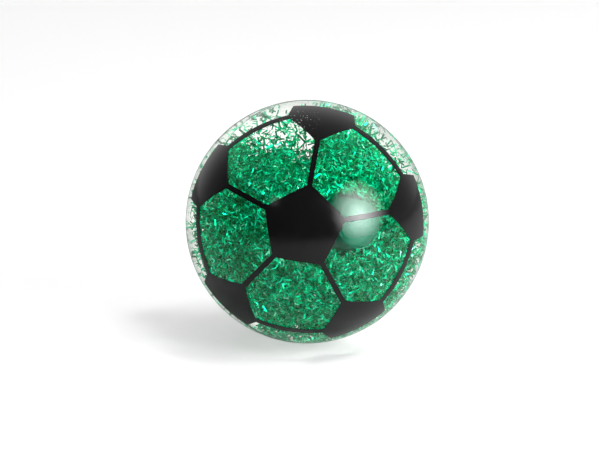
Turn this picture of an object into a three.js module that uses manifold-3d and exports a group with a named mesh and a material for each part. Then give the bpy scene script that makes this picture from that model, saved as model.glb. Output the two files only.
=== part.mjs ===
// Clear rubber bouncing ball with a printed football pattern, a glitter liquid fill and a flasher capsule.
// Units are millimetres. The origin is the ball centre, +Z is up and the viewer stands on the -Y side.
// Inner pieces lie along the plug axis: local +Z runs from the ball centre out through the sealing plug.

import * as THREE from 'three';
import { mergeVertices } from 'three/addons/utils/BufferGeometryUtils.js';
import Module from 'manifold-3d';

const wasm = await Module();
wasm.setup();

// Clearances
const FIT = 0.1;
const SLACK = 0.3;

// Ball and printed ink
const BALL_DIAMETER = 65;
const INK_THICKNESS = 0.12;
const INK_GAP = 0.1;
const WALL = 9.5;
const LIQUID_LEVEL = 19;

// Printed football pattern, polar angles in degrees from the middle of each print
const PRINT_TURN = -2;
const PRINT_RISE = 12.7;
const PRINT_SPIN = 8.5;
const CENTRE_CORNER = 20.2;
const SPOKE_END = 42.8;
const SHOULDER_ANGLE = 61.2;
const SHOULDER_SPREAD = 18.5;
const FAR_ANGLE = 73;
const FAR_SPREAD = 15;
const INK_LINE = 1.4;

// Weld between the two half shells
const TONGUE_WIDTH = 2.6;
const TONGUE_HEIGHT = 2;

// Sealing plug and its socket
const PLUG_TURN = 28.2;
const PLUG_RISE = 12;
const PLUG_SHOULDER = 0.8;
const PLUG_HEAD_EDGE = 1.4;
const PLUG_BODY_LENGTH = 1.9;
const SOCKET_WALL = 1;
const SOCKET_GRIP = 9;

// Capsule around the flasher
const CAPSULE_WALL = 0.8;
const LEDGE = 0.7;
const SIDE_ROOM = 0.5;
const CAP_THICKNESS = 1.2;
const SPIGOT_LENGTH = 1.6;
const SPIGOT_WALL = 0.9;
const STUB_RADIUS = 2.5;
const STUB_HEIGHT = 1.1;
const PAD_THICKNESS = 2;

// Button cells, sleeve and contacts
const CELL_DIAMETER = 7.9;
const CELL_HEIGHT = 3.6;
const CELL_COUNT = 3;
const CELL_LIP = 0.65;
const SLEEVE_WALL = 0.25;
const METAL = 0.25;
const CONTACT_WIDTH = 2.2;
const BLOB_RADIUS = 1.5;
const BLOB_HEIGHT = 0.7;

// Circuit board and lamps
const BOARD_THICKNESS = 1;
const LED_DIAMETER = 3;
const LED_HEIGHT = 5;
const LED_RIM = 0.1;
const LED_RIM_HEIGHT = 0.8;
const LED_GAP = 0.45;
const LEAD_RADIUS = 0.25;

// Trembler switch: a coil that stands around a pin
const WIRE = 0.3;
const COIL_RADIUS = 1.15;
const COIL_PITCH = 0.8;
const COIL_TURNS = 7;
const COIL_TAIL = 0.9;
const COIL_BEND = 0.3;
const COIL_LIFT = 0.35;
const SWAY_ROOM = 0.8;
const PIN_RADIUS = 0.25;
const PIN_COLLAR = 0.5;
const PIN_LENGTH = 6;

// Facet counts around round pieces
const SHELL_SIDES = 48;
const CAPSULE_SIDES = 32;
const SMALL_SIDES = 16;
const LEAD_SIDES = 8;
const INK_FACET = 4;

// Sizes that follow from the ones above
const PRINT_RADIUS = BALL_DIAMETER / 2;
const SHELL_RADIUS = PRINT_RADIUS - INK_THICKNESS - INK_GAP;
const CAVITY_RADIUS = SHELL_RADIUS - WALL;
const CELL_RADIUS = CELL_DIAMETER / 2;
const LED_RADIUS = LED_DIAMETER / 2;
const LED_FLANGE = LED_RADIUS + LED_RIM;
const LED_PITCH = Math.SQRT2 * (LED_FLANGE + LED_GAP / 2);
const LEAD_OFFSET = 0.6 * LED_RADIUS;
const LEAD_HOLE = LEAD_RADIUS + FIT;
const COIL_OUTER = COIL_RADIUS + WIRE / 2;
const TREMBLER_PITCH = LED_PITCH - LED_FLANGE + COIL_OUTER;
const NOSE_RADIUS = Math.max(LED_PITCH + LED_FLANGE + FIT, TREMBLER_PITCH + COIL_OUTER + SWAY_ROOM);
const SLEEVE_RADIUS = CELL_RADIUS + FIT + SLEEVE_WALL;
const ARM_INNER = SLEEVE_RADIUS + FIT;
const CUP_RADIUS = Math.max(ARM_INNER + METAL + SIDE_ROOM, NOSE_RADIUS + LEDGE);
const CAPSULE_RADIUS = CUP_RADIUS + CAPSULE_WALL;
const BORE_RADIUS = CAPSULE_RADIUS + FIT;
const PLUG_HEAD_RADIUS = BORE_RADIUS + PLUG_SHOULDER;
const SOCKET_RADIUS = BORE_RADIUS + SOCKET_WALL;

// Stations along the plug axis, from the ball surface inwards
const HEAD_RIM = Math.sqrt(SHELL_RADIUS ** 2 - PLUG_HEAD_RADIUS ** 2);
const HEAD_SEAT = HEAD_RIM - PLUG_HEAD_EDGE;
const PLUG_END = HEAD_SEAT - PLUG_BODY_LENGTH;
const CAP_TOP = PLUG_END - FIT;
const CAP_SEAT = CAP_TOP - CAP_THICKNESS;
const CUP_RIM = CAP_SEAT - FIT;
const PAD_TOP = CAP_SEAT - FIT;
const PLATE_TOP = PAD_TOP - PAD_THICKNESS - FIT;
const CELLS_TOP = PLATE_TOP - METAL - FIT;
const CELLS_END = CELLS_TOP - CELL_COUNT * (CELL_HEIGHT + FIT) + FIT;
const BRIDGE_TOP = CELLS_END - FIT;
const BOARD_TOP = BRIDGE_TOP - METAL - BLOB_HEIGHT - FIT - SLACK;
const BOARD_SEAT = BOARD_TOP - BOARD_THICKNESS;
const CUP_LEDGE = BOARD_SEAT - FIT;
const COIL_LENGTH = COIL_LIFT + 2 * COIL_BEND + COIL_PITCH * COIL_TURNS + WIRE;
const NOSE_CENTRE = BOARD_SEAT - Math.max(COIL_LENGTH, LED_HEIGHT + FIT, PIN_LENGTH) - SLACK;
const SOCKET_END = PLUG_END - SOCKET_GRIP;

// Shape helpers

function arc(radius, from, to, steps, centre = 0) {
  const points = [];
  for (let i = 0; i <= steps; i += 1) {
    const angle = from + (to - from) * i / steps;
    points.push([radius * Math.cos(angle), centre + radius * Math.sin(angle)]);
  }
  return points;
}

function turned(profile, sides) {
  const points = profile.map(([r, z]) => new THREE.Vector2(Math.abs(r) < 1e-9 ? 0 : r, z));
  const geometry = new THREE.LatheGeometry(points, sides);
  geometry.rotateX(Math.PI / 2);
  return geometry;
}

function ring(profile, sides) {
  return turned([...profile, profile[0]], sides);
}

function rod(radius, from, to, sides, x = 0, y = 0) {
  const geometry = turned([[0, from], [radius, from], [radius, to], [0, to]], sides);
  geometry.translate(x, y, 0);
  return geometry;
}

function solid(geometry) {
  const bare = geometry.clone();
  bare.deleteAttribute('normal');
  bare.deleteAttribute('uv');
  const merged = mergeVertices(bare, 1e-4);
  const index = merged.index.array;
  const faces = [];
  for (let i = 0; i < index.length; i += 3) {
    const [a, b, c] = [index[i], index[i + 1], index[i + 2]];
    if (a !== b && b !== c && c !== a) {
      faces.push(a, b, c);
    }
  }
  return new wasm.Manifold(new wasm.Mesh({
    numProp: 3,
    vertProperties: new Float32Array(merged.attributes.position.array),
    triVerts: new Uint32Array(faces),
  }));
}

function surface(body) {
  const mesh = body.getMesh();
  const geometry = new THREE.BufferGeometry();
  geometry.setAttribute('position', new THREE.BufferAttribute(mesh.vertProperties, 3));
  geometry.setIndex(new THREE.BufferAttribute(mesh.triVerts, 1));
  geometry.computeVertexNormals();
  return geometry;
}

function strip(outline, width) {
  const shape = new THREE.Shape(outline.map(([x, z]) => new THREE.Vector2(x, z)));
  const geometry = new THREE.ExtrudeGeometry(shape, { depth: width, bevelEnabled: false });
  geometry.translate(0, 0, -width / 2);
  geometry.rotateX(Math.PI / 2);
  return geometry;
}

function piece(name, geometry, color, roughness, metalness = 0) {
  const material = new THREE.MeshStandardMaterial({ color, roughness, metalness });
  const mesh = new THREE.Mesh(geometry, material);
  mesh.name = name;
  return mesh;
}

function aimed(name, turn, rise) {
  const group = new THREE.Group();
  const deg = THREE.MathUtils.degToRad;
  group.name = name;
  group.rotation.set(Math.PI / 2 - deg(rise), 0, deg(turn), 'ZXY');
  group.updateMatrix();
  return group;
}

// Half shells of clear rubber, welded tongue in groove across the ball centre

function shellFront() {
  const rimAngle = Math.asin(FIT / 2 / SHELL_RADIUS);
  const boreAngle = Math.acos((PLUG_HEAD_RADIUS + FIT) / SHELL_RADIUS);
  const socketAngle = Math.acos(SOCKET_RADIUS / CAVITY_RADIUS);
  const tongueMiddle = CAVITY_RADIUS + WALL / 2;
  const groove = TONGUE_WIDTH / 2 + FIT;
  return ring([
    ...arc(SHELL_RADIUS, rimAngle, boreAngle, 11),
    [PLUG_HEAD_RADIUS + FIT, HEAD_SEAT - FIT],
    [BORE_RADIUS, HEAD_SEAT - FIT],
    [BORE_RADIUS, SOCKET_END],
    [SOCKET_RADIUS, SOCKET_END],
    ...arc(CAVITY_RADIUS, socketAngle, rimAngle, 9),
    [tongueMiddle - groove, FIT / 2],
    [tongueMiddle - groove, TONGUE_HEIGHT + FIT],
    [tongueMiddle + groove, TONGUE_HEIGHT + FIT],
    [tongueMiddle + groove, FIT / 2],
  ], SHELL_SIDES);
}

function shellRear() {
  const rimAngle = Math.asin(FIT / 2 / SHELL_RADIUS);
  const tongueMiddle = CAVITY_RADIUS + WALL / 2;
  const half = TONGUE_WIDTH / 2;
  return turned([
    ...arc(SHELL_RADIUS, -Math.PI / 2, -rimAngle, 12),
    [tongueMiddle + half, -FIT / 2],
    [tongueMiddle + half, TONGUE_HEIGHT - FIT / 2],
    [tongueMiddle - half, TONGUE_HEIGHT - FIT / 2],
    [tongueMiddle - half, -FIT / 2],
    ...arc(CAVITY_RADIUS, -rimAngle, -Math.PI / 2, 10),
  ], SHELL_SIDES);
}

// Printed pattern: a middle pentagon, five spokes, five outer pentagons and five lines that join them.
// Every edge is a great circle on the ball. The film is one unbroken lattice with five hexagon windows.
// With an open middle, only a line runs round the middle pentagon, so light passes through the ball there.

function polar(angle, around) {
  const theta = THREE.MathUtils.degToRad(angle);
  const phi = THREE.MathUtils.degToRad(around);
  return new THREE.Vector3(
    Math.sin(theta) * Math.sin(phi),
    Math.sin(theta) * Math.cos(phi),
    Math.cos(theta),
  );
}

function greatCircle(a, b) {
  return new THREE.Vector3().crossVectors(a, b).normalize();
}

function besideLine(a, b, distance) {
  const side = greatCircle(a, b).multiplyScalar(Math.tan(distance / PRINT_RADIUS));
  return greatCircle(a.clone().add(side), b.clone().add(side));
}

function crossing(first, second, near) {
  const point = new THREE.Vector3().crossVectors(first, second).normalize();
  return point.dot(near) < 0 ? point.negate() : point;
}

function footballPrint(openMiddle) {
  const half = INK_LINE / 2;
  const fifth = [0, 1, 2, 3, 4];
  const centre = fifth.map((k) => polar(CENTRE_CORNER, 72 * k));
  const near = fifth.map((k) => polar(SPOKE_END, 72 * k));
  const leftShoulder = fifth.map((k) => polar(SHOULDER_ANGLE, 72 * k - SHOULDER_SPREAD));
  const rightShoulder = fifth.map((k) => polar(SHOULDER_ANGLE, 72 * k + SHOULDER_SPREAD));
  const leftFar = fifth.map((k) => polar(FAR_ANGLE, 72 * k - FAR_SPREAD));
  const rightFar = fifth.map((k) => polar(FAR_ANGLE, 72 * k + FAR_SPREAD));
  const next = (k) => (k + 1) % 5;
  const last = (k) => (k + 4) % 5;

  const windows = fifth.map((k) => {
    const n = next(k);
    const middlePentagon = greatCircle(centre[k], centre[n]);
    const farSpoke = besideLine(centre[n], near[n], half);
    const farPentagon = greatCircle(near[n], leftShoulder[n]);
    const line = besideLine(rightShoulder[k], leftShoulder[n], -half);
    const nearPentagon = greatCircle(near[k], rightShoulder[k]);
    const nearSpoke = besideLine(centre[k], near[k], -half);
    return {
      farRoot: crossing(middlePentagon, farSpoke, centre[n]),
      farTip: crossing(farSpoke, farPentagon, near[n]),
      farShoulder: crossing(farPentagon, line, leftShoulder[n]),
      nearShoulder: crossing(line, nearPentagon, rightShoulder[k]),
      nearTip: crossing(nearPentagon, nearSpoke, near[k]),
      nearRoot: crossing(nearSpoke, middlePentagon, centre[k]),
    };
  });

  const lineEnds = fifth.map((k) => {
    const n = next(k);
    const line = besideLine(rightShoulder[k], leftShoulder[n], half);
    return {
      from: crossing(line, greatCircle(rightShoulder[k], rightFar[k]), rightShoulder[k]),
      to: crossing(line, greatCircle(leftShoulder[n], leftFar[n]), leftShoulder[n]),
    };
  });

  const innerLine = fifth.map((k) => besideLine(centre[k], centre[next(k)], -INK_LINE));
  const inner = fifth.map((k) => crossing(innerLine[last(k)], innerLine[k], centre[k]));
  const middleCorners = fifth.map((k) => [windows[last(k)].farRoot, windows[k].nearRoot, inner[k]]);
  const middleSides = fifth.map((k) => [windows[k].nearRoot, windows[k].farRoot, inner[next(k)], inner[k]]);
  const middleField = fifth.flatMap((k) => [windows[last(k)].farRoot, windows[k].nearRoot]);
  const middle = openMiddle ? [...middleCorners, ...middleSides] : [middleField];
  const spokes = fifth.map((k) => {
    const [before, after] = [windows[last(k)], windows[k]];
    return [before.farRoot, before.farTip, after.nearTip, after.nearRoot];
  });
  const pentagons = fifth.map((k) => {
    const [before, after] = [windows[last(k)], windows[k]];
    return [
      before.farTip,
      before.farShoulder,
      lineEnds[last(k)].to,
      leftFar[k],
      rightFar[k],
      lineEnds[k].from,
      after.nearShoulder,
      after.nearTip,
    ];
  });
  const lines = fifth.map((k) => {
    return [windows[k].nearShoulder, lineEnds[k].from, lineEnds[k].to, windows[k].farShoulder];
  });
  return wrappedFilm([...middle, ...spokes, ...pentagons, ...lines]);
}

// The fields of a print share their border points. Each is a fan about its middle, cut to follow the ball.

function splitLongEdges(points, triangles) {
  const middles = new Map();
  const middle = (a, b) => {
    const key = `${Math.min(a, b)}_${Math.max(a, b)}`;
    if (!middles.has(key) && points[a].distanceTo(points[b]) * PRINT_RADIUS > INK_FACET) {
      middles.set(key, points.length);
      points.push(points[a].clone().add(points[b]).normalize());
    }
    return middles.get(key);
  };
  const finer = triangles.flatMap((corners) => {
    const halves = corners.map((p, i) => middle(p, corners[(i + 1) % 3]));
    const cuts = halves.filter((p) => p !== undefined).length;
    const first = Math.max(0, halves.findIndex((p) => (p !== undefined) === (cuts === 1)));
    const [a, b, c] = [0, 1, 2].map((i) => corners[(first + i) % 3]);
    const [ab, bc, ca] = [0, 1, 2].map((i) => halves[(first + i) % 3]);
    const patterns = [
      [[a, b, c]],
      [[a, ab, c], [ab, b, c]],
      [[a, b, bc], [a, bc, ca], [ca, bc, c]],
      [[a, ab, ca], [ab, b, bc], [ca, bc, c], [ab, bc, ca]],
    ];
    return patterns[cuts];
  });
  return middles.size ? splitLongEdges(points, finer) : finer;
}

function wrappedFilm(fields) {
  const points = [];
  const known = new Map();
  const indexOf = (p) => {
    const key = [p.x, p.y, p.z].map((v) => Math.round(v * 1e5) + 0).join('_');
    if (!known.has(key)) {
      known.set(key, points.length);
      points.push(p);
    }
    return known.get(key);
  };
  const fans = fields.flatMap((corners) => {
    const rim = corners.flatMap((from, i) => {
      const to = corners[(i + 1) % corners.length];
      const steps = Math.ceil(from.distanceTo(to) * PRINT_RADIUS / INK_FACET);
      const along = (k) => from.clone().lerp(to, k / steps).normalize();
      return Array.from({ length: steps }, (_, k) => indexOf(along(k)));
    });
    const sum = corners.reduce((total, p) => total.add(p), new THREE.Vector3());
    const hub = indexOf(sum.normalize());
    return rim.map((p, i) => [hub, rim[(i + 1) % rim.length], p]);
  });
  const facing = fans.map(([a, b, c]) => {
    const outward = greatCircle(points[a], points[b]).dot(points[c]);
    return outward > 0 ? [a, b, c] : [a, c, b];
  });
  const triangles = splitLongEdges(points, facing);
  const count = points.length;
  const outer = points.flatMap((p) => p.clone().multiplyScalar(PRINT_RADIUS).toArray());
  const inner = points.flatMap((p) => p.clone().multiplyScalar(PRINT_RADIUS - INK_THICKNESS).toArray());
  const border = new Map();
  const faces = [];
  triangles.forEach(([a, b, c]) => {
    faces.push(a, b, c);
    faces.push(a + count, c + count, b + count);
    [[a, b], [b, c], [c, a]].forEach(([from, to]) => {
      if (!border.delete(`${to}_${from}`)) {
        border.set(`${from}_${to}`, [from, to]);
      }
    });
  });
  border.forEach(([from, to]) => {
    faces.push(from, from + count, to);
    faces.push(to, from + count, to + count);
  });
  const geometry = new THREE.BufferGeometry();
  geometry.setAttribute('position', new THREE.Float32BufferAttribute([...outer, ...inner], 3));
  geometry.setIndex(faces);
  geometry.computeVertexNormals();
  return geometry;
}

// Liquid fill: the cavity up to a level surface, with a pocket around the socket and the capsule

function liquidFill(plugAxis) {
  const pocketProfile = [
    ...arc(NOSE_RADIUS + CAPSULE_WALL + SLACK, -Math.PI / 2, 0, 6, NOSE_CENTRE),
    [NOSE_RADIUS + CAPSULE_WALL + SLACK, CUP_LEDGE - CAPSULE_WALL - SLACK],
    [CAPSULE_RADIUS + SLACK, CUP_LEDGE - CAPSULE_WALL - SLACK],
    [CAPSULE_RADIUS + SLACK, SOCKET_END - SLACK],
    [SOCKET_RADIUS + SLACK, SOCKET_END - SLACK],
    [SOCKET_RADIUS + SLACK, SHELL_RADIUS],
    [0, SHELL_RADIUS],
  ];
  const pocket = turned(pocketProfile, CAPSULE_SIDES);
  pocket.applyMatrix4(plugAxis.matrix);
  const ball = new THREE.SphereGeometry(CAVITY_RADIUS - SLACK, 40, 20);
  const above = new THREE.BoxGeometry(BALL_DIAMETER, BALL_DIAMETER, BALL_DIAMETER);
  above.translate(0, 0, LIQUID_LEVEL + BALL_DIAMETER / 2);
  return surface(solid(ball).subtract(solid(above)).subtract(solid(pocket)));
}

// Sealing plug and capsule

function sealingPlug() {
  const hole = STUB_RADIUS + FIT;
  const ceiling = PLUG_END + STUB_HEIGHT;
  const rimAngle = Math.acos(PLUG_HEAD_RADIUS / SHELL_RADIUS);
  return turned([
    [0, ceiling],
    [hole, ceiling],
    [hole, PLUG_END],
    [CAPSULE_RADIUS, PLUG_END],
    [CAPSULE_RADIUS, HEAD_SEAT],
    [PLUG_HEAD_RADIUS, HEAD_SEAT],
    ...arc(SHELL_RADIUS, rimAngle, Math.PI / 2, 4),
  ], CAPSULE_SIDES);
}

function capsuleCup() {
  const noseOuter = NOSE_RADIUS + CAPSULE_WALL;
  return turned([
    ...arc(noseOuter, -Math.PI / 2, 0, 6, NOSE_CENTRE),
    [noseOuter, CUP_LEDGE - CAPSULE_WALL],
    [CAPSULE_RADIUS, CUP_LEDGE - CAPSULE_WALL],
    [CAPSULE_RADIUS, CUP_RIM],
    [CUP_RADIUS, CUP_RIM],
    [CUP_RADIUS, CUP_LEDGE],
    [NOSE_RADIUS, CUP_LEDGE],
    ...arc(NOSE_RADIUS, 0, -Math.PI / 2, 6, NOSE_CENTRE),
  ], CAPSULE_SIDES);
}

function capsuleCap() {
  const spigotOuter = CUP_RADIUS - FIT;
  const spigotInner = spigotOuter - SPIGOT_WALL;
  return turned([
    [0, CAP_SEAT],
    [spigotInner, CAP_SEAT],
    [spigotInner, CAP_SEAT - SPIGOT_LENGTH],
    [spigotOuter, CAP_SEAT - SPIGOT_LENGTH],
    [spigotOuter, CAP_SEAT],
    [CAPSULE_RADIUS, CAP_SEAT],
    [CAPSULE_RADIUS, CAP_TOP],
    [STUB_RADIUS, CAP_TOP],
    [STUB_RADIUS, CAP_TOP + STUB_HEIGHT],
    [0, CAP_TOP + STUB_HEIGHT],
  ], CAPSULE_SIDES);
}

function foamPad() {
  const radius = CUP_RADIUS - SPIGOT_WALL - 2 * FIT;
  return rod(radius, PAD_TOP - PAD_THICKNESS, PAD_TOP, CAPSULE_SIDES);
}

// Button cells, the sleeve that bundles them and the two sprung contacts

function buttonCell(index) {
  const top = CELLS_TOP - index * (CELL_HEIGHT + FIT);
  const end = top - CELL_HEIGHT;
  const step = CELL_HEIGHT / 12;
  return turned([
    [0, end],
    [CELL_RADIUS - CELL_LIP, end],
    [CELL_RADIUS - CELL_LIP, end + step],
    [CELL_RADIUS - step, end + step],
    [CELL_RADIUS, end + 2 * step],
    [CELL_RADIUS, top - step / 2],
    [CELL_RADIUS - step / 2, top],
    [0, top],
  ], CAPSULE_SIDES);
}

function cellSleeve() {
  return ring([
    [SLEEVE_RADIUS - SLEEVE_WALL, CELLS_END + SLACK],
    [SLEEVE_RADIUS, CELLS_END + SLACK],
    [SLEEVE_RADIUS, CELLS_TOP - SLACK],
    [SLEEVE_RADIUS - SLEEVE_WALL, CELLS_TOP - SLACK],
  ], CAPSULE_SIDES);
}

function positiveContact() {
  const end = BOARD_TOP + FIT;
  return strip([
    [-CELL_RADIUS * 0.7, PLATE_TOP - METAL],
    [ARM_INNER, PLATE_TOP - METAL],
    [ARM_INNER, end],
    [ARM_INNER + METAL, end],
    [ARM_INNER + METAL, PLATE_TOP],
    [-CELL_RADIUS * 0.7, PLATE_TOP],
  ], CONTACT_WIDTH);
}

function negativeContact() {
  const reach = CELL_RADIUS * 0.8;
  const end = BOARD_TOP + FIT;
  return strip([
    [-reach, end],
    [-reach + METAL, end],
    [-reach + METAL, BRIDGE_TOP - METAL],
    [reach - METAL, BRIDGE_TOP - METAL],
    [reach - METAL, end],
    [reach, end],
    [reach, BRIDGE_TOP],
    [-reach, BRIDGE_TOP],
  ], CONTACT_WIDTH);
}

// Circuit board with lamps on its inner side and the control chip on the cell side

function ledPlaces() {
  return [0, 90, 180].map((angle) => {
    const phi = THREE.MathUtils.degToRad(angle);
    return new THREE.Vector2(LED_PITCH * Math.cos(phi), LED_PITCH * Math.sin(phi));
  });
}

function circuitBoard() {
  let board = solid(rod(CUP_RADIUS - FIT, BOARD_SEAT, BOARD_TOP, CAPSULE_SIDES));
  const drill = (radius, x, y) => {
    const hole = rod(radius, BOARD_SEAT - 1, BOARD_TOP + 1, LEAD_SIDES, x, y);
    board = board.subtract(solid(hole));
  };
  ledPlaces().forEach((place) => {
    drill(LEAD_HOLE, place.x - LEAD_OFFSET, place.y);
    drill(LEAD_HOLE, place.x + LEAD_OFFSET, place.y);
  });
  drill(PIN_RADIUS + FIT, 0, -TREMBLER_PITCH);
  drill(WIRE / 2 + 1.5 * FIT, COIL_RADIUS, -TREMBLER_PITCH);
  return surface(board);
}

function chipBlob() {
  const foot = BOARD_TOP + FIT;
  return turned([
    [0, foot],
    [BLOB_RADIUS, foot],
    [BLOB_RADIUS * 0.93, foot + BLOB_HEIGHT * 0.5],
    [BLOB_RADIUS * 0.7, foot + BLOB_HEIGHT * 0.85],
    [0, foot + BLOB_HEIGHT],
  ], SMALL_SIDES);
}

function led() {
  const foot = -FIT;
  const domeCentre = foot - LED_HEIGHT + LED_RADIUS;
  const lens = turned([
    ...arc(LED_RADIUS, -Math.PI / 2, 0, 5, domeCentre),
    [LED_RADIUS, foot - LED_RIM_HEIGHT],
    [LED_FLANGE, foot - LED_RIM_HEIGHT],
    [LED_FLANGE, foot],
    [0, foot],
  ], SMALL_SIDES);
  const leadTop = BOARD_THICKNESS - FIT;
  const left = rod(LEAD_RADIUS, foot - LED_RIM_HEIGHT / 2, leadTop, LEAD_SIDES, -LEAD_OFFSET, 0);
  const right = rod(LEAD_RADIUS, foot - LED_RIM_HEIGHT / 2, leadTop, LEAD_SIDES, LEAD_OFFSET, 0);
  return surface(solid(lens).add(solid(left)).add(solid(right)));
}

// Trembler pin: a collar under the board and a lead through it

function tremblerPin() {
  return turned([
    [0, -PIN_LENGTH],
    [PIN_RADIUS, -PIN_LENGTH],
    [PIN_RADIUS, -FIT - WIRE],
    [PIN_COLLAR, -FIT - WIRE],
    [PIN_COLLAR, -FIT],
    [PIN_RADIUS, -FIT],
    [PIN_RADIUS, BOARD_THICKNESS - FIT],
    [0, BOARD_THICKNESS - FIT],
  ], LEAD_SIDES);
}

// Trembler coil: a straight tail, a bend, the wound turns, a bend and a straight end, as one unbroken wire.
// Height is measured away from the board, so the wire runs from inside its board hole to the free end.

function coilPath() {
  const path = [];
  const place = (along, height) => {
    const phi = along / COIL_RADIUS;
    path.push(new THREE.Vector3(COIL_RADIUS * Math.cos(phi), COIL_RADIUS * Math.sin(phi), height));
  };
  const bendSteps = 4;
  const stepsPerTurn = 8;
  const turnLength = 2 * Math.PI * COIL_RADIUS;
  place(0, COIL_LIFT - COIL_TAIL);
  place(0, COIL_LIFT - WIRE);
  for (let i = 0; i <= bendSteps; i += 1) {
    const angle = Math.PI / 2 * i / bendSteps;
    place(COIL_BEND * (1 - Math.cos(angle)), COIL_LIFT + COIL_BEND * Math.sin(angle));
  }
  const wound = stepsPerTurn * COIL_TURNS;
  for (let i = 1; i <= wound; i += 1) {
    const turn = i / stepsPerTurn;
    place(COIL_BEND + turn * turnLength, COIL_LIFT + COIL_BEND + turn * COIL_PITCH);
  }
  const last = COIL_BEND + COIL_TURNS * turnLength;
  const top = COIL_LIFT + COIL_BEND + COIL_TURNS * COIL_PITCH;
  for (let i = 1; i <= bendSteps; i += 1) {
    const angle = Math.PI / 2 * i / bendSteps;
    place(last + COIL_BEND * Math.sin(angle), top + COIL_BEND * (1 - Math.cos(angle)));
  }
  place(last + COIL_BEND, top + COIL_BEND + WIRE);
  return path;
}

function leastGap(path) {
  let least = Infinity;
  const length = [0];
  for (let i = 1; i < path.length; i += 1) {
    length.push(length[i - 1] + path[i].distanceTo(path[i - 1]));
  }
  for (let i = 0; i < path.length; i += 1) {
    for (let k = i + 1; k < path.length; k += 1) {
      if (length[k] - length[i] > Math.PI * COIL_RADIUS) {
        least = Math.min(least, path[i].distanceTo(path[k]) - WIRE);
      }
    }
  }
  return least;
}

function tremblerSpring() {
  const path = coilPath();
  console.log(`trembler spring least gap ${leastGap(path).toFixed(3)} mm`);
  const sides = 5;
  const points = [];
  const faces = [];
  let across = new THREE.Vector3(1, 0, 0);
  path.forEach((p, i) => {
    const before = path[Math.max(i - 1, 0)];
    const after = path[Math.min(i + 1, path.length - 1)];
    const along = after.clone().sub(before).normalize();
    across = across.clone().addScaledVector(along, -across.dot(along)).normalize();
    const over = new THREE.Vector3().crossVectors(along, across);
    for (let s = 0; s < sides; s += 1) {
      const angle = 2 * Math.PI * s / sides;
      const rim = p.clone();
      rim.addScaledVector(across, WIRE / 2 * Math.cos(angle));
      rim.addScaledVector(over, WIRE / 2 * Math.sin(angle));
      points.push(rim.x, rim.y, -rim.z);
    }
  });
  const index = (i, s) => i * sides + s % sides;
  for (let i = 0; i + 1 < path.length; i += 1) {
    for (let s = 0; s < sides; s += 1) {
      faces.push(index(i, s), index(i + 1, s + 1), index(i, s + 1));
      faces.push(index(i, s), index(i + 1, s), index(i + 1, s + 1));
    }
  }
  for (let s = 1; s + 1 < sides; s += 1) {
    faces.push(index(0, 0), index(0, s), index(0, s + 1));
    faces.push(index(path.length - 1, 0), index(path.length - 1, s + 1), index(path.length - 1, s));
  }
  const geometry = new THREE.BufferGeometry();
  geometry.setAttribute('position', new THREE.Float32BufferAttribute(points, 3));
  geometry.setIndex(faces);
  geometry.computeVertexNormals();
  return geometry;
}

// Assembly

const CLEAR = 0xdfeee6;
const INK = 0x0b0b0c;
const LIQUID = 0x0f9a5c;
const STEEL = 0xb9bcc0;

const ball = new THREE.Group();
ball.name = 'glitter_football';

const plugAxis = aimed('plug_axis', PLUG_TURN, PLUG_RISE);
plugAxis.add(piece('shell_front', shellFront(), CLEAR, 0.15));
plugAxis.add(piece('shell_rear', shellRear(), CLEAR, 0.15));
plugAxis.add(piece('sealing_plug', sealingPlug(), CLEAR, 0.2));
ball.add(plugAxis);

const frontAxis = aimed('front_print_axis', PRINT_TURN, PRINT_RISE);
const frontPrint = piece('print_front', footballPrint(false), INK, 0.25);
frontPrint.rotation.z = -THREE.MathUtils.degToRad(PRINT_SPIN);
frontAxis.add(frontPrint);
ball.add(frontAxis);

const rearAxis = aimed('rear_print_axis', PRINT_TURN + 180, -PRINT_RISE);
const rearPrint = piece('print_rear', footballPrint(true), INK, 0.25);
rearPrint.rotation.z = THREE.MathUtils.degToRad(PRINT_SPIN + 36);
rearAxis.add(rearPrint);
ball.add(rearAxis);

ball.add(piece('liquid_fill', liquidFill(plugAxis), LIQUID, 0.1));

const capsule = new THREE.Group();
capsule.name = 'flasher_capsule';
capsule.add(piece('capsule_cup', capsuleCup(), 0xf2f5f3, 0.1));
capsule.add(piece('capsule_cap', capsuleCap(), 0xe9edeb, 0.2));
capsule.add(piece('foam_pad', foamPad(), 0xf4f1e4, 0.9));
for (let i = 0; i < CELL_COUNT; i += 1) {
  capsule.add(piece(`button_cell_${i + 1}`, buttonCell(i), STEEL, 0.3, 0.9));
}
capsule.add(piece('cell_sleeve', cellSleeve(), 0xffffff, 0.4));
capsule.add(piece('positive_contact', positiveContact(), 0xc9a95a, 0.35, 0.9));
capsule.add(piece('negative_contact', negativeContact(), 0xc9a95a, 0.35, 0.9));
capsule.add(piece('circuit_board', circuitBoard(), 0x1f6b3a, 0.5));
capsule.add(piece('chip_blob', chipBlob(), 0x101010, 0.4));
plugAxis.add(capsule);

const lamps = new THREE.Group();
lamps.name = 'lamps';
lamps.position.z = BOARD_SEAT;
const lampColours = [0xe83a2e, 0x2fbf5a, 0x2f6fe8];
ledPlaces().forEach((place, i) => {
  const lamp = piece(`led_${i + 1}`, led(), lampColours[i], 0.1);
  lamp.position.set(place.x, place.y, 0);
  lamps.add(lamp);
});
capsule.add(lamps);

const trembler = new THREE.Group();
trembler.name = 'trembler';
trembler.position.set(0, -TREMBLER_PITCH, BOARD_SEAT);
trembler.add(piece('trembler_pin', tremblerPin(), STEEL, 0.3, 0.9));
trembler.add(piece('trembler_spring', tremblerSpring(), STEEL, 0.3, 0.9));
capsule.add(trembler);

export default ball;
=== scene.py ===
"""Clear rubber football with tinsel in liquid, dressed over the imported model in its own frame.

Lengths are in millimetres, as in the part's source, or in metres where a comment says so.
"""

import math

import bpy
import numpy as np
from mathutils import Matrix, Vector


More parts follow.
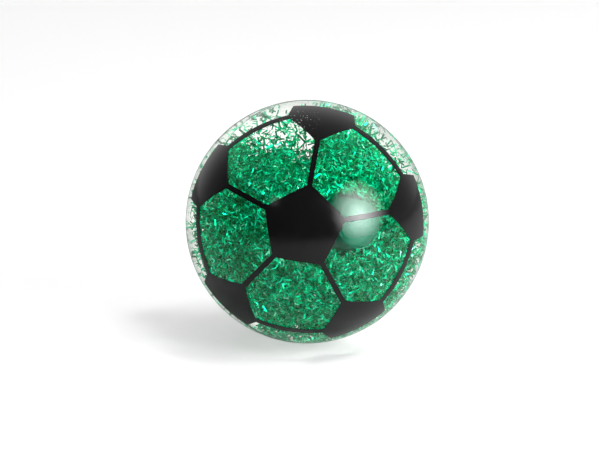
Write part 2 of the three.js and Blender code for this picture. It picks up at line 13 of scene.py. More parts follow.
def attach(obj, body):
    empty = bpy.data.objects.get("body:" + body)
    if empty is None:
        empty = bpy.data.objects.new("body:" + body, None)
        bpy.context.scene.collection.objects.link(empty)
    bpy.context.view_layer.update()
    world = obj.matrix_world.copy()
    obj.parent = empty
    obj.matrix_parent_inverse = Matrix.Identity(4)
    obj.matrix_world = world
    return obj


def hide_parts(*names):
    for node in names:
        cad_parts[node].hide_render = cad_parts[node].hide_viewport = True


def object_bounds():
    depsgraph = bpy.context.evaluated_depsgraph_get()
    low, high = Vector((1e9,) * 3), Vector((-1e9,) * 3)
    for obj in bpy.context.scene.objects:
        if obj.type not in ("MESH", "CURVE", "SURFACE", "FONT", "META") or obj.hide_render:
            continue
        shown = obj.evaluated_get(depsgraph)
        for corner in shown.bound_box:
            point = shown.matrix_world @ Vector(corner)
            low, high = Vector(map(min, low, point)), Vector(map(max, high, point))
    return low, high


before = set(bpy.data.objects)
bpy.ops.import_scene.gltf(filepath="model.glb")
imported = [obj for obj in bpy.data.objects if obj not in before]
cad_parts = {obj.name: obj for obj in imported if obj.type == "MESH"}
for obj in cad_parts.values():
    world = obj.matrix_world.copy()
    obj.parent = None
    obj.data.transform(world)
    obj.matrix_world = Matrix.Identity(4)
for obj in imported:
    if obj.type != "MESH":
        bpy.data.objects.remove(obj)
CAD_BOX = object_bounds()
MM = 0.001
TINY = 1e-6
RNG = np.random.default_rng(20)

# Rubber wall and what it holds, as in the part's source
SHELL_RADIUS = 32.28
PLUG_TURN, PLUG_RISE = 28.2, 12.0
PLUG_HEAD_RADIUS = 6.9
PLUG_EDGE = math.asin(PLUG_HEAD_RADIUS / SHELL_RADIUS)
SOCKET_RADIUS, SOCKET_END = 7.1, 19.3
CAPSULE_RADIUS, CAPSULE_END = 6.0, -1.3
GLITTER_RADIUS = 22.4
LIQUID_LEVEL = 18.9

# Printed pattern, as in the part's source except for the ring's lines, which are wider here
PRINT_RADIUS = 32.5
INK_THICKNESS = 0.12
PRINT_TURN, PRINT_RISE, PRINT_SPIN = -2.0, 12.7, 8.5
SPOKES, SPOKE_STEP = 5, 72.0
REAR_SPIN = PRINT_SPIN + SPOKE_STEP / 2
CENTRE_CORNER, SPOKE_END = 20.2, 42.8
SHOULDER_ANGLE, SHOULDER_SPREAD = 61.2, 18.5
FAR_ANGLE, FAR_SPREAD = 73.0, 15.0
INK_LINE, RING_LINE = 1.4, 2.0
INK_FACET = 1.1
INK_SHARP_ANGLE = 40.0

# Rubber skins: how fine they are, and the depth and width of the grooves where they meet
SKIN_STEP = math.radians(1.6)
SKIN_SIDES = 160
PLUG_GROOVE = (0.012, 0.2)
WELD_GROOVE = (0.05, 0.25)
GROOVE_RINGS = np.array([-0.6, -0.4, -0.28, -0.2, -0.13, -0.06, 0, 0.06, 0.13, 0.2, 0.28, 0.4, 0.6])

# Capsule lid: its outline as (radius, height) from the top, and the place and reach of its pale middle, which
# is partly the lid's milky tone and partly a painted highlight
LID_OUTLINE = [
    (0.0, 29.2), (1.0, 29.17), (2.0, 29.06), (3.0, 28.85), (4.0, 28.55), (4.8, 28.2), (5.4, 27.85),
    (5.8, 27.5), (5.95, 27.2), (5.95, 26.95), (5.0, 26.95), (4.95, 25.4), (4.1, 25.4),
]
LID_SIDES = 64
PALE_HIGHLIGHT_HEIGHT, PALE_HIGHLIGHT_RADIUS = 28.6, 6.1

# Plastic that lies in rubber mirrors little, because both bend light almost alike
RUBBER_IOR = 1.47
EMBEDDED_GLOSS = 0.03

# Dust on the ink of the top field, in metres
DUST_PLACE = (-0.0031, -0.0098, 0.0308)
DUST_RADIUS = 0.0075

# Tinsel: room left around the socket and capsule, the layer that clings there, and the density elsewhere
TINSEL_ROOM = 0.6
CLING_REACH, CLING_DEPTH = 3.5, 3.0
FREE_DENSITY = 0.6
TINSEL_BEND = 0.12

# Clearings in the tinsel, placed as they look on the ball's outline: u to the right and v up, in shares
# of its radius. Each pair runs from where a clearing begins to where it is complete.
POCKET_CLEARED = 0.84
LEFT_POCKET_V, LEFT_POCKET_U = (0.4, 0.6), (0.14, 0.04)
LEFT_POCKET_END, LEFT_POCKET_RIM = (-0.62, -0.42), (0.86, 0.92)
RIGHT_POCKET_PLACE, RIGHT_POCKET_SLOPE = (0.33, 0.70), (0.725, 0.689)
RIGHT_POCKET_DEPTH = (0.01, 0.18)
RIM = (0.85, 0.95)
LEFT_RIM_U, LEFT_RIM_CLEARED = (-0.1, -0.5), 0.84
RIGHT_RIM_U, RIGHT_RIM_CLEARED = (0.5, 0.9), 0.42
TOP_RIM_V, TOP_RIM_CLEARED = (0.3, 0.6), 0.2
TOP_GAP_U, TOP_GAP_WIDTH, TOP_GAP_CLEARED = -0.1, 0.18, 0.6

# Photograph: camera angle and distance, and the ball's outline in a 600 by 450 image
CAMERA_RISE = 15.0
CAMERA_DISTANCE = 60 * SHELL_RADIUS * MM
BALL_PIXEL = (307.26, 221.64)
BALL_PIXEL_RADIUS = 121.81
IMAGE = (600, 450)

# Floor: half its width, and how far it is lifted to white, less within a radius in metres around the ball,
# which is a painted shade around the ball
FLOOR_HALF = 4000.0
FLOOR_LIFT, PAINTED_SHADE_LIFT = 0.6, 0.38
PAINTED_SHADE_RADIUS = 0.06


# Small geometry helpers

def aim(turn, rise):
    """Right, up and outward as columns, for a direction turned from -Y towards +X and raised."""
    t, r = math.radians(turn), math.radians(rise)
    outward = np.array([math.sin(t) * math.cos(r), -math.cos(t) * math.cos(r), math.sin(r)])
    right = np.array([math.cos(t), math.sin(t), 0.0])
    return np.column_stack([right, np.cross(outward, right), outward])


PLUG_AXES = aim(PLUG_TURN, PLUG_RISE)


def unit(v):
    return v / np.linalg.norm(v, axis=-1, keepdims=True)


def smoothstep(low, high, x):
    t = np.clip((x - low) / (high - low), 0, 1)
    return t * t * (3 - 2 * t)


def mesh_object(name, points_mm, faces, material, smooth=True):
    mesh = bpy.data.meshes.new(name)
    mesh.from_pydata((np.asarray(points_mm) * MM).tolist(), [], faces)
    mesh.materials.append(material)
    mesh.polygons.foreach_set("use_smooth", [smooth] * len(mesh.polygons))
    mesh.update()
    obj = bpy.data.objects.new(name, mesh)
    bpy.context.scene.collection.objects.link(obj)
    return obj


def point_at_ball(obj, direction, distance):
    """Put a lamp at a distance in metres, facing the ball."""
    direction = Vector(direction).normalized()
    obj.location = direction * distance
    obj.rotation_euler = direction.to_track_quat("Z", "Y").to_euler()


# Node helpers

def new_material(name):
    material = bpy.data.materials.new(name)
    material.use_nodes = True
    nodes = material.node_tree.nodes
    return material, nodes, material.node_tree.links, nodes["Principled BSDF"]


def add_node(nodes, kind, **settings):
    node = nodes.new(kind)
    for key, value in settings.items():
        if key in node.inputs:
            node.inputs[key].default_value = value
        else:
            setattr(node, key, value)
    return node


def grey(value):
    return (value, value, value)


def noise(nodes, links, scale, detail=4.0):
    place = nodes.new("ShaderNodeTexCoord")
    node = add_node(nodes, "ShaderNodeTexNoise", Scale=scale, Detail=detail, Roughness=0.55)
    links.new(place.outputs["Object"], node.inputs["Vector"])
    return node.outputs["Fac"]


def ramp(nodes, links, source, stops):
    node = nodes.new("ShaderNodeValToRGB")
    elements = node.color_ramp.elements
    while len(elements) < len(stops):
        elements.new(1.0)
    for element, (position, colour) in zip(elements, stops):
        element.position = position
        element.color = (*colour, 1.0)
    links.new(source, node.inputs["Fac"])
    return node.outputs["Color"]


def mottle(nodes, links, socket, scale, low_stop, high_stop, detail=4.0):
    """Vary a socket in soft patches between two stops of (noise level, colour)."""
    links.new(ramp(nodes, links, noise(nodes, links, scale, detail), [low_stop, high_stop]), socket)


def grain(nodes, links, bsdf, scale, height):
    """A fine bump all over the surface, its height in metres."""
    node = add_node(nodes, "ShaderNodeBump", Distance=height, Strength=1.0)
    links.new(noise(nodes, links, scale, detail=2.0), node.inputs["Height"])
    links.new(node.outputs["Normal"], bsdf.inputs["Normal"])


def round_fade(nodes, links, centre, radius):
    """A value of 1 at the centre that falls to 0 at the radius, both in metres."""
    place = nodes.new("ShaderNodeTexCoord")
    shift = add_node(nodes, "ShaderNodeMapping", vector_type="TEXTURE")
    shift.inputs["Location"].default_value = centre
    shift.inputs["Scale"].default_value = (radius, radius, radius)
    links.new(place.outputs["Object"], shift.inputs["Vector"])
    fade = add_node(nodes, "ShaderNodeTexGradient", gradient_type="SPHERICAL")
    links.new(shift.outputs["Vector"], fade.inputs["Vector"])
    return fade.outputs["Fac"]


def combine(nodes, links, operation, first, second):
    node = add_node(nodes, "ShaderNodeMath", operation=operation)
    links.new(first, node.inputs[0])
    links.new(second, node.inputs[1])
    return node.outputs["Value"]


def seen_by_camera(nodes, links):
    """1 for rays from the camera, also after they pass through rubber, and 0 for all others."""
    path = nodes.new("ShaderNodeLightPath")
    direct, through = path.outputs["Is Camera Ray"], path.outputs["Is Transmission Ray"]
    return combine(nodes, links, "MAXIMUM", direct, through)


# Materials

def clear_rubber():
    """Clear and slightly warm, with faint smudges and soft waves."""
    material, nodes, links, bsdf = new_material("clear_rubber")
    bsdf.inputs["Base Color"].default_value = (0.99, 0.985, 0.955, 1.0)
    bsdf.inputs["Transmission Weight"].default_value = 1.0
    bsdf.inputs["IOR"].default_value = RUBBER_IOR
    bsdf.inputs["Specular Tint"].default_value = (*grey(0.7), 1.0)
    mottle(nodes, links, bsdf.inputs["Roughness"], 90.0, (0.35, grey(0.0)), (0.75, grey(0.04)))
    grain(nodes, links, bsdf, 140.0, 0.00002)
    return material


def black_ink():
    """Black print of uneven gloss, with specks of dust around one place."""
    material, nodes, links, bsdf = new_material("black_ink")
    place = nodes.new("ShaderNodeTexCoord")
    cells = add_node(nodes, "ShaderNodeTexVoronoi", Scale=1300.0)
    links.new(place.outputs["Object"], cells.inputs["Vector"])
    dots = ramp(nodes, links, cells.outputs["Distance"], [(0.0, grey(1.0)), (0.26, grey(0.0))])
    around = round_fade(nodes, links, DUST_PLACE, DUST_RADIUS)
    patch = ramp(nodes, links, around, [(0.0, grey(0.0)), (0.8, grey(1.0))])
    specks = combine(nodes, links, "MULTIPLY", dots, patch)
    tones = [(0.0, (0.0035, 0.0032, 0.0036)), (1.0, (0.5, 0.5, 0.48))]
    links.new(ramp(nodes, links, specks, tones), bsdf.inputs["Base Color"])
    bsdf.inputs["Specular IOR Level"].default_value = 0.33
    mottle(nodes, links, bsdf.inputs["Roughness"], 220.0, (0.3, grey(0.1)), (0.75, grey(0.26)))
    grain(nodes, links, bsdf, 900.0, 0.000008)
    return material


def foil(name, colour, roughness):
    """Dyed film: the dye and the gloss vary from strip to strip and along each one."""
    material, nodes, links, bsdf = new_material(name)
    thin, full = ([level * channel for channel in colour] for level in (0.9, 1.04))
    mottle(nodes, links, bsdf.inputs["Base Color"], 500.0, (0.35, thin), (0.65, full), detail=2.0)
    smooth, creased = grey(roughness - 0.08), grey(roughness + 0.06)
    mottle(nodes, links, bsdf.inputs["Roughness"], 900.0, (0.35, smooth), (0.65, creased), detail=2.0)
    bsdf.inputs["Metallic"].default_value = 0.6
    bsdf.inputs["Specular IOR Level"].default_value = 0.1
    bsdf.inputs["Specular Tint"].default_value = (0.2, 0.9, 0.5, 1.0)
    return material


def tinted(name, light, dark, scale, roughness, metallic=0.0, specular=0.5):
    """A moulded or rolled surface: two close tones in soft patches, uneven gloss and a fine grain."""
    material, nodes, links, bsdf = new_material(name)
    low, high = roughness
    mottle(nodes, links, bsdf.inputs["Base Color"], scale, (0.3, dark), (0.7, light))
    mottle(nodes, links, bsdf.inputs["Roughness"], scale * 3, (0.3, grey(low)), (0.7, grey(high)))
    bsdf.inputs["Metallic"].default_value = metallic
    bsdf.inputs["Specular IOR Level"].default_value = specular
    grain(nodes, links, bsdf, scale * 8, 0.00001)
    return material


def lid_tone_and_highlight():
    """Translucent lid: pale in its thick middle, partly milky plastic and partly painted highlight, and green
    where its thin rim lets the liquid through.
    """
    material, nodes, links, bsdf = new_material("capsule_tone_and_highlight")
    middle = (PLUG_AXES[:, 2] * PALE_HIGHLIGHT_HEIGHT * MM).tolist()
    fade = round_fade(nodes, links, middle, PALE_HIGHLIGHT_RADIUS * MM)
    # Painted highlight: the pale middle of these tones is partly the key lamp's glow painted into the lid's
    # colour
    tones = [(0.0, (0.0, 0.11, 0.055)), (0.3, (0.005, 0.15, 0.08)),
             (0.65, (0.03, 0.2, 0.125)), (1.0, (0.07, 0.27, 0.19))]
    links.new(ramp(nodes, links, fade, tones), bsdf.inputs["Base Color"])
    bsdf.inputs["Specular IOR Level"].default_value = EMBEDDED_GLOSS
    mottle(nodes, links, bsdf.inputs["Roughness"], 480.0, (0.3, grey(0.45)), (0.7, grey(0.6)))
    grain(nodes, links, bsdf, 1300.0, 0.00001)
    return material


# Turned pieces: the capsule's lid, and the outer skins of the half shells and of the plug

def turned(name, outline, sides, material):
    """A turned piece on the plug's axis, from rings of (radius, height)."""
    around = np.linspace(0, 2 * math.pi, sides, endpoint=False)
    points, rings, faces = [], [], []
    for radius, height in outline:
        count = sides if radius > TINY else 1
        rings.append(list(range(len(points), len(points) + count)))
        for phi in around[:count]:
            points.append(PLUG_AXES @ np.array([radius * math.cos(phi), radius * math.sin(phi), height]))
    for upper, lower in zip(rings, rings[1:]):
        for i in range(sides):
            k = (i + 1) % sides
            corners = [upper[i % len(upper)], lower[i % len(lower)],
                       lower[k % len(lower)], upper[k % len(upper)]]
            faces.append(tuple(dict.fromkeys(corners)))
    return mesh_object(name, points, faces, material)


def groove(angles, edge, depth, width):
    """How far a groove around the edge lowers the surface at each angle from the axis."""
    return depth * np.exp(-((SHELL_RADIUS * (angles - edge) / width) ** 2))


def skin(name, start, end, material):
    even = np.linspace(start, end, round((end - start) / SKIN_STEP))
    angles = np.union1d(even, PLUG_EDGE + GROOVE_RINGS / SHELL_RADIUS)
    angles = angles[(angles >= start - TINY) & (angles <= end + TINY)]
    radius = SHELL_RADIUS - groove(angles, PLUG_EDGE, *PLUG_GROOVE)
    radius -= groove(angles, math.pi / 2, *WELD_GROOVE)
    outline = [(max(0.0, r * math.sin(a)), r * math.cos(a)) for a, r in zip(angles, radius)]
    return turned(name, outline, SKIN_SIDES, material)


# Printed football pattern: the same fields as in the part's source, with finer facets

def polar(angle, around):
    a, b = math.radians(angle), math.radians(around)
    return np.array([math.sin(a) * math.sin(b), math.sin(a) * math.cos(b), math.cos(a)])


def beside_line(a, b, distance):
    """Normal of the great circle that runs beside the line from a to b."""
    side = unit(np.cross(a, b)) * math.tan(distance / PRINT_RADIUS)
    return np.cross(a + side, b + side)


def crossing(first, second, near):
    """Where two great circles cross, on the side of a nearby point."""
    point = unit(np.cross(first, second))
    return point if point @ near > 0 else -point


def print_fields(open_middle):
    """Corners of each printed field on the unit sphere, in order around it."""
    half = INK_LINE / 2
    spokes = [SPOKE_STEP * k for k in range(SPOKES)]
    centre = [polar(CENTRE_CORNER, spoke) for spoke in spokes]
    near = [polar(SPOKE_END, spoke) for spoke in spokes]
    left = [polar(SHOULDER_ANGLE, spoke - SHOULDER_SPREAD) for spoke in spokes]
    right = [polar(SHOULDER_ANGLE, spoke + SHOULDER_SPREAD) for spoke in spokes]
    far_left = [polar(FAR_ANGLE, spoke - FAR_SPREAD) for spoke in spokes]
    far_right = [polar(FAR_ANGLE, spoke + FAR_SPREAD) for spoke in spokes]
    windows, ends = [], []
    for k in range(SPOKES):
        n = (k + 1) % SPOKES
        edges = [
            np.cross(centre[k], centre[n]),
            beside_line(centre[n], near[n], half),
            np.cross(near[n], left[n]),
            beside_line(right[k], left[n], -RING_LINE / 2),
            np.cross(near[k], right[k]),
            beside_line(centre[k], near[k], -half),
        ]
        corners = [centre[n], near[n], left[n], right[k], near[k], centre[k]]
        windows.append([crossing(edges[i], edges[(i + 1) % 6], corners[i]) for i in range(6)])
        line = beside_line(right[k], left[n], RING_LINE / 2)
        ends.append((crossing(line, np.cross(right[k], far_right[k]), right[k]),
                     crossing(line, np.cross(left[n], far_left[n]), left[n])))
    if open_middle:
        inner_line = [beside_line(centre[k], centre[(k + 1) % SPOKES], -INK_LINE) for k in range(SPOKES)]
        inner = [crossing(inner_line[k - 1], inner_line[k], centre[k]) for k in range(SPOKES)]
        fields = [[windows[k - 1][0], windows[k][5], inner[k]] for k in range(SPOKES)]
        fields += [[windows[k][5], windows[k][0], inner[(k + 1) % SPOKES], inner[k]] for k in range(SPOKES)]
    else:
        fields = [[p for k in range(SPOKES) for p in (windows[k - 1][0], windows[k][5])]]
    for k in range(SPOKES):
        before, after = windows[k - 1], windows[k]
        fields.append([before[0], before[1], after[4], after[5]])
        fields.append([before[1], before[2], ends[k - 1][1], far_left[k],
                       far_right[k], ends[k][0], after[3], after[4]])
        fields.append([after[3], ends[k][0], ends[k][1], after[2]])
    return fields


def print_triangles(open_middle):
    """Points on the unit sphere and a fan of outward triangles for each field. Neighbours share points."""
    points, known = [], {}

    def index_of(p):
        key = tuple(np.round(p, 5) + 0.0)  # The sum turns -0.0 into 0.0
        if key not in known:
            known[key] = len(points)
            points.append(p)
        return known[key]

    triangles = []
    for corners in print_fields(open_middle):
        rim = []
        for a, b in zip(corners, corners[1:] + corners[:1]):
            steps = math.ceil(np.linalg.norm(b - a) * PRINT_RADIUS / INK_FACET)
            rim += [index_of(unit(a + (b - a) * k / steps)) for k in range(steps)]
        hub = index_of(unit(np.sum(corners, axis=0)))
        for a, b in zip(rim, rim[1:] + rim[:1]):
            outward = np.cross(points[hub], points[a]) @ points[b] > 0
            triangles.append((hub, a, b) if outward else (hub, b, a))
    return points, triangles


def halve_long_edges(points, triangles):
    """Add the middles of edges longer than a facet, and give the finer triangles, or none if all fit."""
    middles = {}
    for tri in triangles:
        for a, b in zip(tri, tri[1:] + tri[:1]):
            key = (min(a, b), max(a, b))
            if key not in middles and np.linalg.norm(points[a] - points[b]) * PRINT_RADIUS > INK_FACET:
                middles[key] = len(points)
                points.append(unit(points[a] + points[b]))
    if not middles:
        return []
    finer = []
    for a, b, c in triangles:
        ab, bc, ca = (middles.get((min(p, q), max(p, q))) for p, q in ((a, b), (b, c), (c, a)))
        loop = [p for p in (a, ab, b, bc, c, ca) if p is not None]
        if len(loop) == 6:
            finer += [(a, ab, ca), (ab, b, bc), (ca, bc, c), (ab, bc, ca)]
        elif len(loop) == 5:
            start = loop.index(ab if ca is None else ca if bc is None else bc)
            p, q, r, s, t = loop[start:] + loop[:start]
            finer += [(p, q, r), (p, r, t), (r, s, t)]
        elif len(loop) == 4:
            start = next(i for i, p in enumerate(loop) if p not in (a, b, c))
            p, q, r, s = loop[start:] + loop[:start]
            finer += [(p, q, r), (p, r, s)]
        else:
            finer.append((a, b, c))
    return finer


def ink_film(name, turn, rise, spin, open_middle, material):
    """A closed film on the sphere: an outer and an inner layer, joined around every border."""
    points, triangles = print_triangles(open_middle)
    while finer := halve_long_edges(points, triangles):
        triangles = finer
    s = math.radians(spin)
    spun = np.array([[math.cos(s), -math.sin(s), 0], [math.sin(s), math.cos(s), 0], [0, 0, 1]])
    placed = np.array(points) @ (aim(turn, rise) @ spun).T
    count = len(points)
    faces = list(triangles)
    border = {}  # Edges that only one triangle has, in order
    for a, b, c in triangles:
        faces.append((a + count, c + count, b + count))
        for p, q in ((a, b), (b, c), (c, a)):
            if (q, p) in border:
                del border[(q, p)]
            else:
                border[(p, q)] = True
    faces += [(p, p + count, q + count, q) for p, q in border]
    layers = np.vstack([placed * PRINT_RADIUS, placed * (PRINT_RADIUS - INK_THICKNESS)])
    piece = mesh_object(name, layers, faces, material)
    piece.data.set_sharp_from_angle(angle=math.radians(INK_SHARP_ANGLE))
    return piece


# Tinsel: thin bent foil strips, dense in the body of the liquid and sparse in its clearings

def camera_axes():
    """Right, up and towards the camera as rows."""
    e = math.radians(CAMERA_RISE)
    return np.array([[1, 0, 0], [0, math.sin(e), math.cos(e)], [0, -math.cos(e), math.sin(e)]])


def seen_through_rubber(p):
    """Where points inside the ball appear on its outline, in shares of its radius.

    The rubber bends the rays, so each place is found by halving the range in which it lies.
    """
    right, up, toward = (p @ camera_axes().T / SHELL_RADIUS).T
    off_axis = np.hypot(right, up)
    low, high = np.zeros(len(p)), np.ones(len(p))
    for _ in range(30):
        middle = (low + high) / 2
        turn = np.arcsin(middle) - np.arcsin(middle / RUBBER_IOR)
        inside = off_axis * np.cos(turn) - toward * np.sin(turn) > middle / RUBBER_IOR
        low, high = np.where(inside, middle, low), np.where(inside, high, middle)
    scale = low / np.maximum(off_axis, TINY)
    return right * scale, up * scale


def tinsel_density(p):
    """Share of the strips that stay at each point."""
    u, v = seen_through_rubber(p)
    out = np.hypot(u, v)
    # Two waves make the edges of the pockets uneven
    drift =0.05 * np.sin(9 * u + 1.0) + 0.03 * np.sin(23 * u - 17 * v)
    left_pocket = smoothstep(*LEFT_POCKET_V, v + drift) * smoothstep(*LEFT_POCKET_U, u)
    left_pocket *= np.maximum(smoothstep(*LEFT_POCKET_END, u), smoothstep(*LEFT_POCKET_RIM, out))
    (place_u, place_v), (slope_u, slope_v) = RIGHT_POCKET_PLACE, RIGHT_POCKET_SLOPE
    past_edge = slope_u * (u - place_u) + slope_v * (v - place_v) + drift
    right_pocket = smoothstep(*RIGHT_POCKET_DEPTH, past_edge)
    rim = smoothstep(*RIM, out)
    left_rim = LEFT_RIM_CLEARED * smoothstep(*LEFT_RIM_U, u)
    right_rim = RIGHT_RIM_CLEARED * smoothstep(*RIGHT_RIM_U, u)
    clear = np.maximum(POCKET_CLEARED * np.maximum(left_pocket, right_pocket),
                       rim * np.maximum(left_rim, right_rim))
    top_gap = TOP_RIM_CLEARED + TOP_GAP_CLEARED * np.exp(-(((u - TOP_GAP_U) / TOP_GAP_WIDTH) ** 2))
    return (1 - clear) * (1 - rim * smoothstep(*TOP_RIM_V, v) * top_gap)


def tinsel_places(count):
    """Random places in the liquid, outside the socket and the capsule."""
    kept = []
    total = 0
    while total < count:
        p = RNG.normal(size=(count, 3))
        p = unit(p) * GLITTER_RADIUS * np.cbrt(RNG.uniform(size=(count, 1)))
        across, upright, along = (p @ PLUG_AXES).T
        off_axis = np.hypot(across, upright)
        in_socket = (off_axis < SOCKET_RADIUS + TINSEL_ROOM) & (along > SOCKET_END)
        in_capsule = (off_axis < CAPSULE_RADIUS + TINSEL_ROOM) & (along > CAPSULE_END)
        clinging = (off_axis < CAPSULE_RADIUS + CLING_REACH) & (along > CAPSULE_END - CLING_DEPTH)
        chance = tinsel_density(p) * np.where(clinging, 1.0, FREE_DENSITY)
        chosen = RNG.uniform(size=count) < chance
        keep = chosen & ~in_socket & ~in_capsule & (p[:, 2] < LIQUID_LEVEL)
        kept.append(p[keep])
        total += keep.sum()
    return np.vstack(kept)[:count]


def tinsel(name, count, length, width, material):
    """Loose strips of two quads each, bent in the middle and kept inside the cavity."""
    places = tinsel_places(count)
    along = unit(RNG.normal(size=(count, 3)))
    across = unit(np.cross(along, RNG.normal(size=(count, 3))))
    lift = np.cross(along, across)
    half = RNG.uniform(*length, size=(count, 1)) / 2
    wide = RNG.uniform(*width, size=(count, 1)) / 2
    bend = RNG.uniform(-TINSEL_BEND, TINSEL_BEND, size=(count, 1)) * half
    rows = []
    for t, rise in ((-1, 0), (0, 1), (1, 0)):
        middle = places + along * half * t + lift * bend * rise
        rows += [middle - across * wide, middle + across * wide]
    reach = np.linalg.norm(rows, axis=2).max(axis=0)
    pull = np.minimum(1, GLITTER_RADIUS / reach)[:, None]
    points = np.stack([row * pull for row in rows], axis=1).reshape(-1, 3)
    base = np.arange(count)[:, None] * len(rows)
    quads = np.vstack([base + [0, 1, 3, 2], base + [2, 3, 5, 4]])
    return mesh_object(name, points, quads.tolist(), material, smooth=False)


# Build the pieces

def place_on_ball(piece, node):
    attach(piece, "ball")
    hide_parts(node)


rubber = clear_rubber()
skins = {
    "sealing_plug": skin("plug_skin", 0.0, PLUG_EDGE, rubber),
    "shell_front": skin("front_skin", PLUG_EDGE, math.pi / 2, rubber),
    "shell_rear": skin("rear_skin", math.pi / 2, math.pi, rubber),
}
for node, piece in skins.items():
    piece.visible_shadow = False
    place_on_ball(piece, node)

ink = black_ink()
films = {
    "print_front": ink_film("ink_front", PRINT_TURN, PRINT_RISE, -PRINT_SPIN, False, ink),
    "print_rear": ink_film("ink_rear", PRINT_TURN + 180, -PRINT_RISE, REAR_SPIN, True, ink),
}
for node, piece in films.items():
    place_on_ball(piece, node)

tinsel_sets = [
    tinsel("tinsel_deep", count=24000, length=(1.0, 1.7), width=(0.26, 0.34),
           material=foil("tinsel_deep", colour=(0.0, 0.28, 0.12), roughness=0.28)),
    tinsel("tinsel_bright", count=19000, length=(1.0, 1.7), width=(0.26, 0.34),
           material=foil("tinsel_bright", colour=(0.0, 0.95, 0.46), roughness=0.25)),
    tinsel("tinsel_mint", count=4000, length=(0.9, 1.5), width=(0.24, 0.32),
           material=foil("tinsel_mint", colour=(0.2, 0.96, 0.6), roughness=0.22)),
]
for piece in tinsel_sets:
    place_on_ball(piece, "liquid_fill")

lid = turned("capsule_cap_dome", LID_OUTLINE, LID_SIDES, lid_tone_and_highlight())
place_on_ball(lid, "capsule_cap")

# Materials of the solids that stay: name, light tone, dark tone, scale of the patches, range of roughness
smoked = tinted("capsule_smoked", (0.0, 0.16, 0.08), (0.0, 0.1, 0.05), 160.0, (0.45, 0.6),
                specular=EMBEDDED_GLOSS)
steel = tinted("cell_steel", (0.75, 0.76, 0.78), (0.6, 0.61, 0.63), 300.0, (0.2, 0.38), metallic=1.0)
brass = tinted("contact_brass", (0.82, 0.66, 0.34), (0.66, 0.5, 0.22), 300.0, (0.22, 0.4), metallic=1.0)
board = tinted("board_green", (0.03, 0.2, 0.08), (0.02, 0.13, 0.05), 400.0, (0.35, 0.55))
resin = tinted("chip_resin", (0.02, 0.02, 0.02), (0.01, 0.01, 0.012), 500.0, (0.3, 0.5))
foam = tinted("pad_foam", (0.85, 0.82, 0.72), (0.72, 0.68, 0.58), 900.0, (0.8, 0.95))
sleeve = tinted("sleeve_film", (0.9, 0.9, 0.9), (0.82, 0.82, 0.84), 250.0, (0.3, 0.45))
NODE_MATERIALS = {
    "capsule_cup": smoked, "foam_pad": foam, "cell_sleeve": sleeve,
    "button_cell_1": steel, "button_cell_2": steel, "button_cell_3": steel,
    "positive_contact": brass, "negative_contact": brass, "circuit_board": board, "chip_blob": resin,
    "led_1": tinted("lamp_red", (0.8, 0.06, 0.05), (0.65, 0.03, 0.03), 400.0, (0.05, 0.12)),
    "led_2": tinted("lamp_green", (0.06, 0.7, 0.2), (0.04, 0.55, 0.15), 400.0, (0.05, 0.12)),
    "led_3": tinted("lamp_blue", (0.05, 0.2, 0.8), (0.03, 0.14, 0.65), 400.0, (0.05, 0.12)),
    "trembler_pin": steel, "trembler_spring": steel,
}
for node, material in NODE_MATERIALS.items():
    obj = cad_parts[node]
    obj.data.materials.clear()
    obj.data.materials.append(material)


# Stage: white floor, studio world, lamps and camera

def floor():
    """A pale floor that the camera sees as white, but for the ball's shadow and a painted shade around the
    ball.
    """
    material, nodes, links, bsdf = new_material("studio_floor")
    mottle(nodes, links, bsdf.inputs["Base Color"], 6.0, (0.3, grey(0.44)), (0.7, grey(0.46)))
    bsdf.inputs["Roughness"].default_value = 0.6
    bsdf.inputs["Specular IOR Level"].default_value = 0.2
    bsdf.inputs["Emission Color"].default_value = (1, 1, 1, 1)
    level = CAD_BOX[0][2]
    # Painted shade: the floor is lifted less towards white near the ball, so it is darker there whatever the
    # lamps do
    painted_shade = round_fade(nodes, links, (0.0, 0.0, level), PAINTED_SHADE_RADIUS)
    lift = ramp(nodes, links, painted_shade, [(0.1, grey(FLOOR_LIFT)), (0.7, grey(PAINTED_SHADE_LIFT))])
    lifted = combine(nodes, links, "MULTIPLY", seen_by_camera(nodes, links), lift)
    links.new(lifted, bsdf.inputs["Emission Strength"])
    signs = ((-1, -1), (1, -1), (1, 1), (-1, 1))
    corners = [(x * FLOOR_HALF, y * FLOOR_HALF, level / MM) for x, y in signs]
    mesh_object("floor", corners, [(0, 1, 2, 3)], material, smooth=False)


def studio_world():
    """White for the camera, and for light and mirror images a room that is dark in front and pale behind."""
    world = bpy.data.worlds.new("studio")
    bpy.context.scene.world = world
    world.use_nodes = True
    nodes, links = world.node_tree.nodes, world.node_tree.links
    background = nodes["Background"]
    background.inputs["Color"].default_value = (1, 1, 1, 1)
    place = nodes.new("ShaderNodeTexCoord")
    split = nodes.new("ShaderNodeSeparateXYZ")
    links.new(place.outputs["Generated"], split.inputs["Vector"])
    depth = nodes.new("ShaderNodeMapRange")
    depth.inputs["From Min"].default_value = -1.0
    links.new(split.outputs["Y"], depth.inputs["Value"])
    walls = [(0.0, 0.04), (0.4, 0.07), (0.6, 0.2), (0.75, 0.36), (0.9, 0.8), (1.0, 1.0)]
    room = ramp(nodes, links, depth.outputs["Result"], [(position, grey(level)) for position, level in walls])
    strength = add_node(nodes, "ShaderNodeMix", data_type="FLOAT")
    factor, unseen, seen = strength.inputs[0], strength.inputs[2], strength.inputs[3]
    links.new(seen_by_camera(nodes, links), factor)
    links.new(room, unseen)
    seen.default_value = 1.0
    links.new(strength.outputs[0], background.inputs["Strength"])


def area_lamp(name, direction, distance, size, power, glossy=True, shape="DISK"):
    """A lamp that the camera doesn't see, its distance and size in metres."""
    data = bpy.data.lights.new(name, "AREA")
    data.shape = shape
    data.size = size
    data.energy = power
    lamp = bpy.data.objects.new(name, data)
    point_at_ball(lamp, direction, distance)
    lamp.visible_camera = False
    lamp.visible_glossy = glossy
    bpy.context.scene.collection.objects.link(lamp)


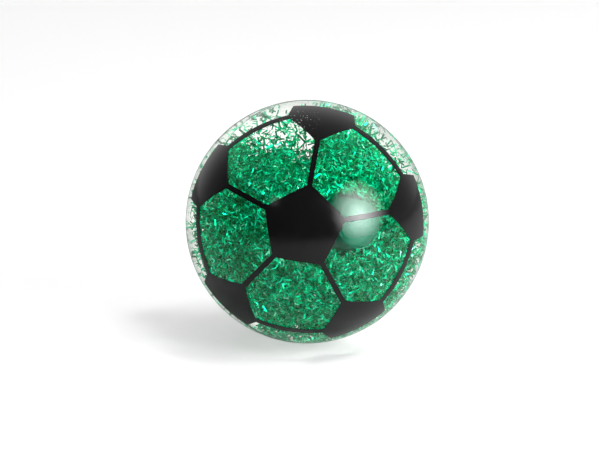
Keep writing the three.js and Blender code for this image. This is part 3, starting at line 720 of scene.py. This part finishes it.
def softbox(name, direction, distance, radius, radiance, hot_spot, sides=64):
    """A round diffuser, in metres, that is brightest at its hot spot and falls away towards the rim."""
    material, nodes, links, bsdf = new_material(name)
    nodes.remove(bsdf)
    glow = nodes.new("ShaderNodeEmission")
    links.new(glow.outputs["Emission"], nodes["Material Output"].inputs["Surface"])
    fade = round_fade(nodes, links, hot_spot, radius)
    rise = [(0.1, 0.0), (0.295, 0.13), (0.466, 0.31), (0.575, 0.42), (0.79, 0.68), (0.97, 1.0)]
    level = ramp(nodes, links, fade, [(position, grey(value)) for position, value in rise])
    power = add_node(nodes, "ShaderNodeMath", operation="MULTIPLY")
    links.new(level, power.inputs[0])
    power.inputs[1].default_value = radiance
    links.new(power.outputs["Value"], glow.inputs["Strength"])
    around = np.linspace(0, 2 * math.pi, sides, endpoint=False)
    rim = [(radius / MM * math.cos(a), radius / MM * math.sin(a), 0.0) for a in around]
    disc = mesh_object(name, rim, [tuple(reversed(range(sides)))], material, smooth=False)
    point_at_ball(disc, direction, distance)
    disc.visible_camera = False


def camera():
    """The photograph's view: the ball's outline lands on its pixels."""
    data = bpy.data.cameras.new("camera")
    spread = math.tan(math.asin(SHELL_RADIUS * MM / CAMERA_DISTANCE))
    data.sensor_width = 36.0
    data.lens = BALL_PIXEL_RADIUS / spread / IMAGE[0] * data.sensor_width
    data.shift_x = (IMAGE[0] / 2 - BALL_PIXEL[0]) / IMAGE[0]
    data.shift_y = (BALL_PIXEL[1] - IMAGE[1] / 2) / IMAGE[0]
    obj = bpy.data.objects.new("camera", data)
    right, up, back = camera_axes()
    obj.matrix_world = Matrix(np.column_stack([right, up, back]).tolist()).to_4x4()
    obj.location = Vector(back * CAMERA_DISTANCE)
    bpy.context.scene.collection.objects.link(obj)
    bpy.context.scene.camera = obj


floor()
studio_world()
softbox("key", direction=(0.776, -0.509, 0.369), distance=0.55, radius=0.32, radiance=28.0,
        hot_spot=(-0.05, -0.043, 0.0))
area_lamp("overhead", direction=(0.5, -0.2, 0.84), distance=0.7, size=0.26, power=4.5, glossy=False)
area_lamp("fill", direction=(-0.49, -0.70, 0.52), distance=0.6, size=0.09, power=0.03, shape="SQUARE")
camera()
bpy.context.scene.view_settings.view_transform = "Standard"
